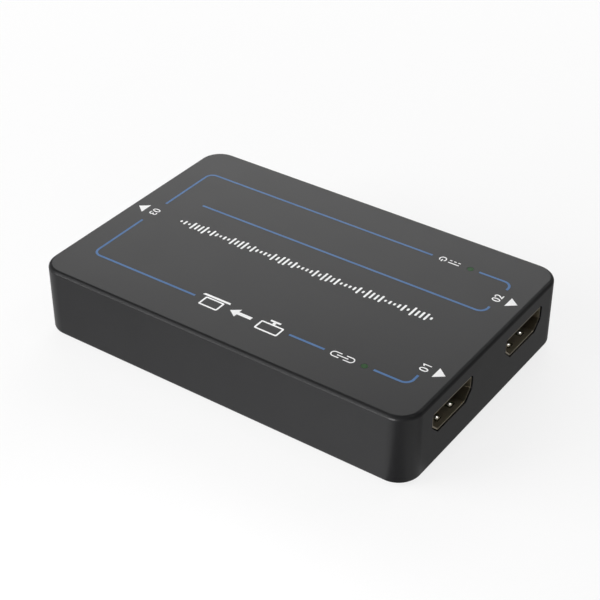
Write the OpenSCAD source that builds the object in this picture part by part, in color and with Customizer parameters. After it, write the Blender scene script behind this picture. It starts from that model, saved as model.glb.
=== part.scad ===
// Video capture box: a moulded housing closed by a screwed base cover, around one circuit board
// that carries two video sockets at one end and a data socket at the other.
// +X points to the video sockets and +Z up. The origin is on the surface under the feet,
// midway along and across the housing. All lengths are in millimetres.

/* [Housing] */
// Length of the housing from end to end
body_l = 93.2; // [88:0.1:110]
// Width of the housing
body_w = 62; // [58:0.1:76]
// Height of the housing without its feet
body_h = 16.4; // [15.6:0.1:22]
// Plan radius of the vertical corners
corner_r = 5.15; // [4:0.05:7]
// Radius of the rolled top edge
top_edge_r = 0.95; // [0.4:0.05:1.5]
// Radius of the rolled bottom edge
bottom_edge_r = 0.75; // [0.3:0.05:0.9]
// Thickness of the side walls
wall_t = 2; // [1.6:0.1:2.6]
// Thickness of the roof
roof_t = 2; // [1.6:0.1:2.4]
// Depth of the stiffening ribs under the roof
rib_h = 0.6; // [0.4:0.1:1]
// Thickness of ribs and gussets
rib_t = 1; // [0.8:0.1:1.6]

/* [Base cover] */
// Thickness of the cover plate
cover_t = 2; // [1.6:0.1:2.6]
// Width of the ledge in the walls that the cover seats against
ledge_w = 0.9; // [0.6:0.05:1.1]
// Clearance round the cover's edge
cover_gap = 0.15; // [0.05:0.05:0.3]
// Height of the locating tabs on the cover
tab_h = 1.4; // [0.8:0.1:2.4]
// Length of the locating tabs
tab_l = 9; // [5:0.5:14]
// Distance of the long sides' tabs from the middle
tab_from_middle = 20; // [14:0.5:26]

/* [Feet] */
// Diameter of a foot
foot_d = 8; // [6:0.5:10]
// Height of a foot below the cover
foot_h = 0.8; // [0.5:0.1:2]
// Depth of the recess that a foot is glued into
foot_recess = 0.6; // [0.3:0.1:1]
// Clearance round a foot in its recess
foot_gap = 0.1; // [0.05:0.05:0.3]
// Bevel round a foot's lower edge
foot_bevel = 0.35; // [0.1:0.05:0.5]
// Distance of the feet from the housing's ends
foot_from_end = 15; // [12:0.5:22]
// Distance of the feet from the long sides
foot_from_side = 9; // [7:0.5:16]

/* [Screws] */
// Thread diameter of the cover screws
screw_d = 2.5; // [2:0.1:3]
// Length of a screw under its head
screw_l = 10; // [8:0.5:12]
// Diameter of a screw's head
head_d = 4.4; // [3.8:0.1:5]
// Height of a screw's head
head_h = 1.3; // [1:0.1:1.6]
// Depth of a screw's head below the cover's face
head_sink = 0.4; // [0.2:0.1:0.8]
// Width of the cross slots in a screw's head
cross_w = 0.6; // [0.4:0.05:0.8]
// Length of the cross slots
cross_l = 2.6; // [2:0.1:3.2]
// Depth of the cross slots
cross_depth = 0.8; // [0.5:0.1:1]
// Clearance round a screw in the cover and the board
screw_gap = 0.2; // [0.1:0.05:0.3]
// Clearance round a screw in its boss
thread_gap = 0.03; // [0.02:0.01:0.1]
// Free depth beyond a screw's tip
tip_gap = 0.5; // [0.3:0.1:1]
// Diameter of the housing's screw bosses
boss_d = 5.2; // [4.6:0.1:5.6]
// Diameter of the cover's standoffs
standoff_d = 6.2; // [5.4:0.1:6.4]
// Distance of the screws from the housing's ends
post_from_end = 5.8; // [5.4:0.1:7]
// Length of a screw's pointed tip
point_l = 1.25; // [0.8:0.05:1.6]
// Diameter at the end of the point
point_d = 1.25; // [0.8:0.05:1.6]

/* [Board] */
// Height of the board's top face above the housing's underside
board_z = 7.5; // [6.6:0.1:8]
// Thickness of the board
board_t = 1.6; // [1:0.1:2]
// Gap between the board's edge and the walls
board_gap = 0.4; // [0.2:0.1:0.8]
// Reach of the board stops in from the long walls
stop_reach = 2.2; // [1.2:0.1:3]

/* [Video sockets] */
// Distance of the video sockets' axes from the long sides
socket_from_side = 16.5; // [15.5:0.1:19]
// Width of a socket's metal shell
socket_w = 14.9; // [14:0.1:15.6]
// Height of a socket's metal shell
socket_h = 5.15; // [4.8:0.05:5.6]
// Length of a socket's metal shell
socket_l = 11.5; // [10:0.1:13]
// Thickness of the shell's sheet metal
socket_t = 0.3; // [0.2:0.05:0.35]
// Legs of the slanted lower corners
socket_bevel = 2.2; // [1.6:0.1:2.4]
// Radius of the shell's folds
socket_fold_r = 0.5; // [0.4:0.05:0.8]
// Clearance round the shell in the housing's opening
socket_gap = 0.28; // [0.15:0.01:0.4]
// Depth of the shell's mouth behind the end face
socket_sink = 0.25; // [0.1:0.05:0.8]
// Length of the insulator's rear block
block_l = 4; // [3:0.1:5]
// Clearance of the rear block in the shell
block_gap = 0.04; // [0.02:0.01:0.1]
// Width of the tongue
tongue_w = 11; // [10.4:0.1:12]
// Thickness of the tongue
tongue_t = 1.3; // [1:0.1:1.6]
// Height of the tongue's middle above the shell's middle
tongue_rise = 0.2; // [0:0.05:0.4]
// Depth of the tongue's tip behind the shell's mouth
tongue_sink = 2; // [1.6:0.1:2.6]
// Bevel of the tongue's tip
tongue_bevel = 0.3; // [0.1:0.05:0.4]

/* [Socket springs and legs] */
// Width of a spring finger
finger_w = 1.3; // [1:0.1:1.6]
// Width of the slits beside a finger
finger_slit = 0.3; // [0.2:0.05:0.4]
// Length of a finger and the window it is cut from
finger_l = 4.6; // [3.6:0.1:5]
// Depth of the windows behind the mouth
finger_from_mouth = 1.1; // [0.8:0.1:1.4]
// Distance from the window's front to the finger's crest
finger_crest = 0.9; // [0.6:0.1:1.4]
// Height of the crest above the shell's inner face
finger_lift = 0.06; // [0.02:0.02:0.5]
// Diameter of the round pip on a finger's crest
pip_d = 1.1; // [0.8:0.05:1.3]
// Height of the pip above the crest
pip_h = 0.19; // [0.1:0.01:0.25]
// Distance of the fingers from the socket's axis
finger_from_axis = 2.5; // [2:0.1:3.2]
// Width of the shell legs that pass through the board
leg_w = 1; // [0.7:0.1:1.3]
// Length of a leg below the board
leg_below = 0.7; // [0.4:0.1:1.2]
// Clearance round a leg in the board
leg_gap = 0.15; // [0.1:0.05:0.2]
// Distance of the front legs from the board's edge
leg_from_edge = 1.4; // [1.1:0.1:2]
// Distance of the rear legs from the shell's back
leg_from_back = 1.6; // [1:0.1:2.4]

/* [Video contacts] */
// Spacing of the contacts in a row
contact_pitch = 1; // [0.9:0.05:1.05]
// Contacts in the upper row
contact_count = 10; // [6:1:10]
// Width of a contact
contact_w = 0.32; // [0.25:0.01:0.4]
// Thickness of a contact
contact_t = 0.15; // [0.1:0.01:0.2]
// Depth of a contact in its groove
contact_seat = 0.08; // [0.05:0.01:0.1]
// Clearance round a contact
contact_gap = 0.04; // [0.02:0.01:0.06]
// Distance of the contacts' ends from the tongue's tip
contact_from_tip = 0.7; // [0.4:0.1:1.2]
// Distance of the contacts' bends from the shell's back
tail_gap = 0.3; // [0.2:0.05:0.6]
// Length of the soldered tails
tail_l = 1; // [0.6:0.1:1.4]

/* [Data socket] */
// Width of the data socket's metal shell
data_w = 8.94; // [8.4:0.02:9.6]
// Height of the data socket's metal shell
data_h = 3.2; // [3:0.02:3.6]
// Length of the data socket's metal shell
data_l = 7.4; // [6.6:0.1:9]
// Thickness of its sheet metal
data_t = 0.3; // [0.2:0.05:0.35]
// Clearance round the shell in the housing's opening
data_gap = 0.3; // [0.2:0.05:0.5]
// Depth of the shell's mouth behind the end face
data_sink = 0.4; // [0.2:0.1:1]
// Length of the data insulator's rear block
data_block_l = 2.4; // [1.8:0.1:3]
// Width of the data tongue
data_tongue_w = 6.6; // [6.2:0.1:6.8]
// Thickness of the data tongue
data_tongue_t = 0.7; // [0.6:0.05:0.9]
// Depth of the data tongue's tip behind the mouth
data_tongue_sink = 0.9; // [0.6:0.1:1.4]
// Bevel of the data tongue's tip
data_tongue_bevel = 0.17; // [0.1:0.01:0.25]
// Spacing of the data contacts
data_pitch = 0.5; // [0.48:0.01:0.52]
// Data contacts in a row
data_count = 12; // [8:1:12]
// Width of a data contact
data_contact_w = 0.25; // [0.2:0.01:0.3]
// Thickness of a data contact
data_contact_t = 0.12; // [0.1:0.01:0.15]
// Distance between the two rows of data tails
data_row_gap = 0.9; // [0.7:0.1:1.2]
// Length of the data tails
data_tail_l = 0.6; // [0.4:0.05:0.65]

/* [Lights] */
// Distance of the lights behind the video sockets
light_from_socket = 4.9; // [4:0.1:8]
// Distance of the lights from the long sides
light_from_side = 10.3; // [9:0.1:14]
// Diameter of the lens in the roof
lens_d = 1.4; // [1:0.1:2]
// Diameter of a light pipe below the roof
pipe_d = 3; // [2.4:0.1:3.6]
// Clearance round a light pipe
pipe_gap = 0.05; // [0.02:0.01:0.1]
// Height of the collar that holds a light pipe
collar_h = 3; // [2:0.1:4]
// Wall of the collar
collar_t = 0.8; // [0.6:0.1:1.2]
// Gap between a light pipe and its diode
light_gap = 0.25; // [0.1:0.05:0.6]
// Length, width and height of a diode
diode_size = [2, 1.25, 0.7]; // [0.4:0.05:3]
// Length of a diode's clear middle
diode_lens_l = 1.2; // [0.8:0.05:1.6]
// Height of a diode's soldered ends
diode_end_h = 0.35; // [0.2:0.05:0.5]

/* [Chips] */
// Length, width and height of the capture chip
capture_size = [12, 12, 1.1]; // [0.8:0.1:14]
// Place of the capture chip from the board's middle
capture_at = [-6, -3]; // [-8:0.5:2]
// Side of the heat sink
sink_side = 15; // [13:0.5:18]
// Thickness of the heat sink's base
sink_base = 1.2; // [0.8:0.1:1.6]
// Number of fins
fin_count = 7; // [4:1:9]
// Thickness of a fin
fin_t = 0.9; // [0.6:0.1:1.1]
// Gap between the fins and the ribs under the roof
sink_gap = 0.7; // [0.3:0.1:1.5]
// Thickness of the thermal pad
pad_t = 0.5; // [0.3:0.1:1]
// Length, width and height of the receiver chip
receiver_size = [10, 10, 1.2]; // [0.9:0.1:11]
// Distance of the receiver chip behind the input socket
receiver_from_socket = 15.3; // [14:0.1:16]
// Leads along each side of the receiver chip
receiver_leads = 16; // [8:1:16]
// Spacing of the receiver chip's leads
receiver_pitch = 0.56; // [0.48:0.01:0.58]
// Width of the receiver chip's leads
receiver_lead_w = 0.28; // [0.2:0.01:0.34]
// Length, width and height of the loop driver chip
driver_size = [7, 7, 0.9]; // [0.7:0.1:8]
// Distance of the loop driver chip behind the output socket
driver_from_socket = 12.3; // [9:0.1:14]
// Length, width and height of the memory chip
memory_size = [4.9, 3.9, 1.5]; // [1.2:0.1:5.4]
// Place of the memory chip from the board's middle
memory_at = [-8, 12.5]; // [-12:0.5:13]
// Leads along each side of the memory chip
memory_leads = 4; // [3:1:4]
// Spacing of the memory chip's leads
memory_pitch = 1.27; // [1.1:0.01:1.3]
// Width of the memory chip's leads
memory_lead_w = 0.42; // [0.3:0.01:0.6]
// Thickness of the leads
lead_t = 0.15; // [0.1:0.01:0.2]
// Reach of a lead beyond its chip
lead_reach = 1; // [0.8:0.1:1.2]
// Length of a lead's soldered foot
lead_foot = 0.5; // [0.3:0.05:0.6]
// Diameter of the mark at a chip's first lead
mark_d = 0.9; // [0.5:0.1:1.2]
// Depth of the mark
mark_depth = 0.1; // [0.05:0.01:0.2]

/* [Power and clock parts] */
// Length and width of a crystal's base
crystal_size = [11, 4.6]; // [4:0.1:12]
// Height of a crystal
crystal_h = 3.2; // [2.4:0.1:4]
// Thickness of a crystal's flange
crystal_flange = 0.5; // [0.4:0.1:0.8]
// Width of the flange round a crystal's can
crystal_rim = 0.4; // [0.2:0.05:0.6]
// Places of the crystals from the board's middle
crystal_x = [4, -12]; // [-13:0.5:5]
// Distance of the crystals from the board's middle line
crystal_from_middle = 17; // [16:0.5:20]
// Length, width and height of a regulator's body
regulator_size = [3.5, 6.5, 1.6]; // [1.4:0.1:7]
// Width of a regulator's heat tab
regulator_tab_w = 3; // [2:0.1:3.4]
// Width of a regulator's leads
regulator_lead_w = 0.7; // [0.5:0.1:0.9]
// Spacing of a regulator's leads
regulator_pitch = 2.3; // [2:0.1:2.5]
// Distance of the regulators from the data end
regulator_from_end = 17; // [16:0.5:19]
// Distance of the regulators from the board's middle line
regulator_from_middle = 13; // [11:0.5:16]
// Side of a power inductor
inductor_side = 5; // [4:0.1:6]
// Height of a power inductor
inductor_h = 2.4; // [1.8:0.1:3]
// Height of an inductor's square body
inductor_body_h = 1.9; // [1.2:0.1:2.2]
// Radius of an inductor's corners
inductor_r = 1; // [0.4:0.1:1.4]
// Diameter of an inductor's ferrite cap
inductor_cap_d = 4.2; // [3.4:0.1:5]
// Distance of the inductors from the data end
inductor_from_end = 25; // [24:0.5:26]
// Distance of the inductors from the board's middle line
inductor_from_middle = 14; // [11:0.5:18]
// Diameter of a bulk capacitor's can
can_d = 5; // [4:0.1:6]
// Height of a bulk capacitor
can_h = 4.4; // [3.6:0.1:5]
// Thickness of a bulk capacitor's base
can_base = 0.8; // [0.6:0.1:1.2]
// Margin of the base round the can
can_margin = 0.15; // [0.1:0.05:0.4]
// Depth of the crimped groove round the can
crimp_depth = 0.2; // [0.1:0.05:0.3]
// Height of the groove above the board
crimp_from_board = 1.6; // [1.4:0.1:2]
// Distance of the bulk capacitors from the data end
can_from_end = 9; // [8.5:0.5:11]
// Distance of the bulk capacitors from the board's middle line
can_from_middle = 16; // [12:0.5:17]

/* [Small parts] */
// Length, width and height of a surge array
array_size = [1, 2.5, 0.5]; // [0.4:0.1:3]
// Gap between a surge array and the sockets' tails
array_gap = 1; // [0.6:0.1:2]
// Distance of the surge arrays from the socket's axis
array_from_axis = 2.2; // [1.8:0.1:3]
// Length, width and height of a chip capacitor or resistor
small_size = [1.6, 0.8, 0.6]; // [0.4:0.05:2]
// Length of its end caps
cap_end = 0.3; // [0.2:0.05:0.4]
// Thickness of its end caps
cap_t = 0.05; // [0.03:0.01:0.1]
// Spacing of the small parts in their rows
small_pitch = 3.2; // [2.6:0.1:3.6]
// Small parts in a row
small_count = 9; // [4:1:10]
// Distance of the capacitors' row from the board's edge
capacitor_from_edge = 7.1; // [4.6:0.1:9.6]
// Distance of the resistors' row from the board's edge
resistor_from_edge = 5.1; // [4.1:0.1:6.6]

/* [Hidden] */
$fn = 48;

// A hair's overlap that makes a cut pass clean through a face
cut = 0.5;
// Smallest radius that a fold or a corner is left with
least_r = 0.05;
// Radius of the corners of a moulded chip
chip_r = 0.1;
// Flat that is left on the housing's lower rim beside its rolled edge
least_rim = 0.2;

// Inside of the housing
cavity_l = body_l - 2 * wall_t;
cavity_w = body_w - 2 * wall_t;
cavity_r = corner_r - wall_t;
cavity_h = body_h - roof_t;
rim_t = wall_t - ledge_w;
// The cross ribs stand a quarter of the inner length apart
rib_spacing = cavity_l / 4;

// Places of the sockets, screws and lights
socket_y = body_w / 2 - socket_from_side;
socket_x = body_l / 2 - socket_sink;
socket_back_x = socket_x - socket_l;
post_x = body_l / 2 - post_from_end;
post_y = (socket_y + socket_w / 2 + cavity_w / 2) / 2;
seat_z = head_sink + head_h;
light_x = socket_back_x - light_from_socket;
light_y = body_w / 2 - light_from_side;
tongue_z = socket_h / 2 + tongue_rise;
// Radius of the ball that a finger's pip is cut from
pip_r = (pip_d * pip_d / 4 + pip_h * pip_h) / (2 * pip_h);
data_tongue_z = data_h / 2;
leg_front = wall_t + board_gap - socket_sink + leg_from_edge;
data_leg_front = wall_t + board_gap - data_sink + leg_from_edge;
receiver_at = [socket_back_x - receiver_from_socket, -socket_y];
driver_at = [socket_back_x - driver_from_socket, socket_y];

// Board outline
board_l = cavity_l - 2 * board_gap;
board_w = cavity_w - 2 * board_gap;
board_r = cavity_r - board_gap;

housing_dark = [0.14, 0.14, 0.15];
metal_grey = [0.62, 0.6, 0.56];
resin_black = [0.08, 0.08, 0.08];
gold = [0.83, 0.68, 0.35];

function unit(v) = v / norm(v);

// Helper shapes

// Stands its children on the housing's underside, above the feet
module on_feet() translate([0, 0, foot_h]) children();

// Stands its children on the board's top face
module on_board(at = [0, 0]) translate([at.x, at.y, foot_h + board_z]) children();

module at_corners(x, y) for (sx = [-1, 1], sy = [-1, 1]) translate([sx * x, sy * y, 0]) children();

// Extrudes a section drawn in Y and Z along X
module along_x(from, to) translate([from, 0, 0]) rotate([90, 0, 90]) linear_extrude(to - from) children();

// Extrudes an outline drawn in X and Z across Y, about the middle
module across_y(width) rotate([90, 0, 0]) linear_extrude(width, center = true) children();

module rounded_rect(l, w, r) {
    for (sx = [-1, 1], sy = [-1, 1]) translate([sx * (l / 2 - r), sy * (w / 2 - r)]) circle(r);
    square([l - 2 * r, w], center = true);
    square([l, w - 2 * r], center = true);
}

// A convex outline, given counter-clockwise, with every corner rounded to the radius r
module rounded_outline(points, r) {
    n = len(points);
    onward = [for (i = [0:n - 1]) unit(points[(i + 1) % n] - points[i])];
    back = [for (i = [0:n - 1]) -onward[(i + n - 1) % n]];
    half = [for (i = [0:n - 1]) acos(onward[i] * back[i]) / 2];
    polygon([for (i = [0:n - 1], way = [back[i], onward[i]]) points[i] + way * r / tan(half[i])]);
    for (i = [0:n - 1])
        translate(points[i] + unit(onward[i] + back[i]) * r / sin(half[i])) circle(r);
}

// What a rounded edge leaves of a square corner
module corner_waste(r) difference() {
    square(r);
    circle(r);
}

// Half section of a slab's rim, with its outer top and bottom corners rolled
module rim_section(run, h, top_r, bottom_r) difference() {
    square([run, h]);
    translate([run - top_r, h - top_r]) corner_waste(top_r);
    translate([run - bottom_r, bottom_r]) mirror([0, 1]) corner_waste(bottom_r);
}

// A slab with round corners in plan and rolled edges, made of turned corners and straight sides
module rolled_slab(l, w, h, r, top_r, bottom_r) {
    x = l / 2 - r;
    y = w / 2 - r;
    for (sx = [0, 1], sy = [0, 1]) mirror([sx, 0]) mirror([0, sy])
        translate([x, y]) rotate_extrude(angle = 90) rim_section(r, h, top_r, bottom_r);
    for (sx = [0, 1]) mirror([sx, 0]) translate([x, y]) rotate([90, 0, 0])
        linear_extrude(2 * y) rim_section(r, h, top_r, bottom_r);
    for (sy = [0, 1]) mirror([0, sy]) translate([-x, y]) rotate([90, 0, 90])
        linear_extrude(2 * x) rim_section(r, h, top_r, bottom_r);
    translate([-x, -y]) cube([2 * x, 2 * y, h]);
}

// Section of a video socket's shell, wide side up and standing on z = 0, grown on all sides
module socket_outline(grow = 0) {
    side = socket_w / 2 + grow;
    bevel = socket_bevel + grow * (2 - sqrt(2));
    floor_z = -grow;
    top_z = socket_h + grow;
    rounded_outline([
        [side, top_z], [-side, top_z],
        [-side, floor_z + bevel], [-side + bevel, floor_z],
        [side - bevel, floor_z], [side, floor_z + bevel]
    ], max(socket_fold_r + grow, least_r));
}

// Section of the data socket's shell, round at both ends and standing on z = 0, grown on all sides
module data_outline(grow = 0) {
    r = data_h / 2 + grow;
    flat = data_w / 2 - data_h / 2;
    translate([0, data_h / 2]) {
        square([2 * flat, 2 * r], center = true);
        for (s = [-1, 1]) translate([s * flat, 0]) circle(r);
    }
}

// Puts a socket, drawn with its mouth at x = 0 and its body towards -X, in its place
module at_video_socket(side) translate([socket_x, side * socket_y, foot_h + board_z]) children();
module at_data_socket() translate([data_sink - body_l / 2, 0, foot_h + board_z]) rotate(180) children();

// A bent metal strip: a foot on z = 0 from foot_x, a drop at drop_x and a level run at z to tip_x
module bent_strip(tip_x, drop_x, foot_x, z, t, w) across_y(w) polygon([
    [tip_x, z + t], [drop_x, z + t], [drop_x, t], [foot_x, t],
    [foot_x, 0], [drop_x + t, 0], [drop_x + t, z], [tip_x, z]
]);

// Places a row of children across Y
module row_y(count, pitch) for (i = [0:count - 1])
    translate([0, (i - (count - 1) / 2) * pitch, 0]) children();

// A tongue with a bevelled tip, from back_x to tip_x, about the height z
module tongue(back_x, tip_x, w, t, bevel, z) translate([0, 0, z]) across_y(w) polygon([
    [back_x, -t / 2], [tip_x - bevel, -t / 2], [tip_x, -t / 2 + bevel],
    [tip_x, t / 2 - bevel], [tip_x - bevel, t / 2], [back_x, t / 2]
]);

// A chip's moulded body, with a round mark at its first lead
module chip_body(size) difference() {
    linear_extrude(size.z) rounded_rect(size.x, size.y, chip_r);
    translate([mark_d - size.x / 2, mark_d - size.y / 2, size.z - mark_depth])
        cylinder(d = mark_d, h = mark_depth + cut);
}

// Leads along the two sides of a chip that face X
module side_leads(l, h, count, pitch, w) for (turn = [0, 180]) rotate(turn)
    row_y(count, pitch) rotate(180)
        bent_strip(-l / 2, -l / 2 - lead_reach + lead_foot, -l / 2 - lead_reach, h / 2, lead_t, w);

// Housing

module screw_bosses() {
    at_corners(post_x, post_y)
        translate([0, 0, board_z]) cylinder(d = boss_d, h = body_h - board_z - roof_t / 2);
    gusset_z = board_z + rib_t;
    for (sx = [0, 1], sy = [0, 1]) mirror([sx, 0]) mirror([0, sy]) {
        translate([post_x, post_y - rib_t / 2, gusset_z])
            cube([body_l / 2 - wall_t / 2 - post_x, rib_t, body_h - roof_t / 2 - gusset_z]);
        translate([post_x - rib_t / 2, post_y, gusset_z])
            cube([rib_t, body_w / 2 - wall_t / 2 - post_y, body_h - roof_t / 2 - gusset_z]);
    }
}

module light_collars() for (s = [-1, 1])
    translate([light_x, s * light_y, cavity_h - collar_h])
        cylinder(d = pipe_d + 2 * pipe_gap + 2 * collar_t, h = collar_h + roof_t / 2);

// Short ribs on the long walls that hold the board down at mid length
module board_stops() for (s = [0, 1]) mirror([0, s])
    translate([-rib_t / 2, cavity_w / 2 - stop_reach, board_z])
        cube([rib_t, stop_reach + wall_t / 2, body_h - roof_t / 2 - board_z]);

module roof_ribs() {
    rib_z = cavity_h - rib_h;
    translate([-cavity_l / 2, -rib_t / 2, rib_z]) cube([cavity_l, rib_t, rib_h + roof_t / 2]);
    for (i = [-1:1])
        translate([i * rib_spacing - rib_t / 2, -cavity_w / 2, rib_z])
            cube([rib_t, cavity_w, rib_h + roof_t / 2]);
}

module top_shell() color(housing_dark) on_feet() difference() {
    union() {
        difference() {
            rolled_slab(body_l, body_w, body_h, corner_r, top_edge_r, min(bottom_edge_r, rim_t - least_rim));
            translate([0, 0, -cut]) linear_extrude(cavity_h + cut) rounded_rect(cavity_l, cavity_w, cavity_r);
        }
        screw_bosses();
        light_collars();
        board_stops();
        roof_ribs();
    }
    translate([0, 0, -cut]) linear_extrude(cover_t + cut)
        rounded_rect(body_l - 2 * rim_t, body_w - 2 * rim_t, corner_r - rim_t);
    at_corners(post_x, post_y) cylinder(d = screw_d + 2 * thread_gap, h = seat_z + screw_l + tip_gap);
    for (s = [-1, 1]) translate([light_x, s * light_y, 0]) {
        cylinder(d = lens_d + 2 * pipe_gap, h = body_h + cut);
        cylinder(d = pipe_d + 2 * pipe_gap, h = cavity_h);
    }
    for (s = [-1, 1]) translate([body_l / 2, s * socket_y, board_z])
        along_x(-wall_t - cut, cut) socket_outline(socket_gap);
    translate([-body_l / 2, 0, board_z]) along_x(-cut, wall_t + cut) data_outline(data_gap);
}

module bottom_cover() color(housing_dark) on_feet() difference() {
    edge = rim_t + cover_gap;
    tab_y = cavity_w / 2 - cover_gap - rib_t;
    tab_x = cavity_l / 2 - cover_gap - rib_t;
    union() {
        linear_extrude(cover_t) rounded_rect(body_l - 2 * edge, body_w - 2 * edge, corner_r - edge);
        at_corners(post_x, post_y) cylinder(d = standoff_d, h = board_z - board_t);
        for (s = [0, 1]) mirror([0, s]) {
            for (x = [-tab_from_middle, tab_from_middle])
                translate([x - tab_l / 2, tab_y, 0]) cube([tab_l, rib_t, cover_t + tab_h]);
            translate([-rib_t / 2, cavity_w / 2 - stop_reach, 0])
                cube([rib_t, stop_reach - cover_gap, board_z - board_t]);
        }
        for (s = [0, 1]) mirror([s, 0]) translate([tab_x, -tab_l / 2, 0])
            cube([rib_t, tab_l, cover_t + tab_h]);
    }
    at_corners(post_x, post_y) {
        translate([0, 0, -cut]) cylinder(d = screw_d + 2 * screw_gap, h = board_z);
        translate([0, 0, -cut]) cylinder(d = head_d + 2 * screw_gap, h = seat_z + cut);
    }
    at_corners(body_l / 2 - foot_from_end, body_w / 2 - foot_from_side)
        translate([0, 0, -cut]) cylinder(d = foot_d + 2 * foot_gap, h = foot_recess + cut);
}

module cover_screws() color(metal_grey) on_feet() at_corners(post_x, post_y) difference() {
    union() {
        translate([0, 0, head_sink]) cylinder(d = head_d, h = head_h);
        translate([0, 0, head_sink]) cylinder(d = screw_d, h = head_h + screw_l - point_l);
        translate([0, 0, seat_z + screw_l - point_l]) cylinder(d1 = screw_d, d2 = point_d, h = point_l);
    }
    for (turn = [0, 90]) rotate(turn) translate([-cross_l / 2, -cross_w / 2, head_sink - cut])
        cube([cross_l, cross_w, cross_depth + cut]);
}

module rubber_feet() color([0.05, 0.05, 0.05])
    at_corners(body_l / 2 - foot_from_end, body_w / 2 - foot_from_side) rotate_extrude() polygon([
        [0, 0], [foot_d / 2 - foot_bevel, 0], [foot_d / 2, foot_bevel],
        [foot_d / 2, foot_h + foot_recess], [0, foot_h + foot_recess]
    ]);

// Lights

module light_pipe(side) color([0.55, 0.75, 0.55]) on_feet() translate([light_x, side * light_y, 0]) {
    foot_z = board_z + diode_size.z + light_gap;
    translate([0, 0, foot_z]) cylinder(d = pipe_d, h = cavity_h - foot_z);
    translate([0, 0, foot_z]) cylinder(d = lens_d, h = body_h - foot_z);
}

module power_light_pipe() light_pipe(1);

module link_light_pipe() light_pipe(-1);

module diode(side) color([0.92, 0.92, 0.85]) on_board([light_x, side * light_y]) {
    linear_extrude(diode_end_h) square([diode_size.x, diode_size.y], center = true);
    linear_extrude(diode_size.z) rounded_rect(diode_lens_l, diode_size.y, chip_r);
}

module power_diode() diode(1);

module link_diode() diode(-1);

// Board

module leg_slots(half_w, t, front, back) for (x = [-front, -back], s = [-1, 1])
    translate([x, s * (half_w - t / 2)]) square([leg_w + 2 * leg_gap, t + 2 * leg_gap], center = true);

module main_board() color([0.05, 0.27, 0.13]) on_feet() translate([0, 0, board_z - board_t])
    linear_extrude(board_t) difference() {
        rounded_rect(board_l, board_w, board_r);
        at_corners(post_x, post_y) circle(d = screw_d + 2 * screw_gap);
        for (s = [-1, 1]) translate([socket_x, s * socket_y])
            leg_slots(socket_w / 2, socket_t, leg_front, socket_l - leg_from_back);
        translate([data_sink - body_l / 2, 0]) rotate(180)
            leg_slots(data_w / 2, data_t, data_leg_front, data_l - leg_from_back);
    }

// Video sockets

// A round pip that presses on the plug, rooted in the metal below z = 0
module contact_pip() intersection() {
    translate([0, 0, pip_h - pip_r]) sphere(pip_r);
    translate([0, 0, -socket_t / 2]) cylinder(d = pip_d, h = socket_t / 2 + pip_h + cut);
}

// A spring finger that rises from the floor of the shell, with its root at the back
module spring_finger() {
    root_x = -finger_from_mouth - finger_l;
    crest_x = -finger_from_mouth - finger_crest;
    tip_x = -finger_from_mouth - finger_slit;
    translate([crest_x, 0, socket_t + finger_lift]) contact_pip();
    translate([0, 0, socket_t]) across_y(finger_w) polygon([
        [root_x - socket_t, 0], [root_x, 0], [crest_x, finger_lift], [tip_x, 0],
        [tip_x, -socket_t], [crest_x, finger_lift - socket_t],
        [root_x, -socket_t], [root_x - socket_t, -socket_t]
    ]);
}

// Repeats a floor feature on the floor and, upside down, on the roof of the shell
module floor_and_roof() {
    for (s = [-1, 1]) translate([0, s * finger_from_axis, 0]) {
        children();
        translate([0, 0, socket_h]) mirror([0, 0, 1]) children();
    }
}

module shell_legs(half_w, t, front, back, from_z) for (x = [-front, -back], s = [0, 1]) mirror([0, s])
    translate([x - leg_w / 2, half_w - t, -board_t - leg_below])
        cube([leg_w, t, board_t + leg_below + from_z]);

module video_socket_shell(side) color(metal_grey) at_video_socket(side) {
    difference() {
        along_x(-socket_l, 0) socket_outline();
        along_x(-socket_l - cut, cut) socket_outline(-socket_t);
        floor_and_roof() translate([-finger_from_mouth - finger_l, -finger_w / 2 - finger_slit, -cut])
            cube([finger_l, finger_w + 2 * finger_slit, socket_t + 2 * cut]);
    }
    floor_and_roof() spring_finger();
    shell_legs(socket_w / 2, socket_t, leg_front, socket_l - leg_from_back, socket_h / 2);
}

// Heights of the contacts' lower faces in the two rows of a tongue
function upper_row_z(middle, t) = middle + t / 2 - contact_seat;
function lower_row_z(middle, t, contact) = middle - t / 2 + contact_seat - contact;

module video_contact_rows() {
    row_y(contact_count, contact_pitch) translate([0, 0, upper_row_z(tongue_z, tongue_t)]) children();
    row_y(contact_count - 1, contact_pitch)
        translate([0, 0, lower_row_z(tongue_z, tongue_t, contact_t)]) children();
}

module video_socket_insulator(side) color(resin_black) at_video_socket(side) difference() {
    union() {
        along_x(-socket_l, block_l - socket_l) socket_outline(-socket_t - block_gap);
        tongue(block_l / 2 - socket_l, -tongue_sink, tongue_w, tongue_t, tongue_bevel, tongue_z);
    }
    groove_l = socket_l - tongue_sink - contact_from_tip + contact_gap;
    video_contact_rows() translate([-socket_l - cut, -contact_w / 2 - contact_gap, 0])
        cube([groove_l + cut, contact_w + 2 * contact_gap, contact_t]);
}

module video_socket_contacts(side) color(gold) at_video_socket(side) {
    tip_x = -tongue_sink - contact_from_tip;
    drop_x = -socket_l - tail_gap - contact_t;
    foot_x = -socket_l - tail_gap - tail_l;
    row_y(contact_count, contact_pitch)
        bent_strip(tip_x, drop_x, foot_x, upper_row_z(tongue_z, tongue_t), contact_t, contact_w);
    row_y(contact_count - 1, contact_pitch)
        bent_strip(tip_x, drop_x, foot_x, lower_row_z(tongue_z, tongue_t, contact_t), contact_t, contact_w);
}

module input_socket_shell() video_socket_shell(-1);

module input_socket_insulator() video_socket_insulator(-1);

module input_socket_contacts() video_socket_contacts(-1);

module output_socket_shell() video_socket_shell(1);

module output_socket_insulator() video_socket_insulator(1);

module output_socket_contacts() video_socket_contacts(1);

// Data socket

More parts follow.
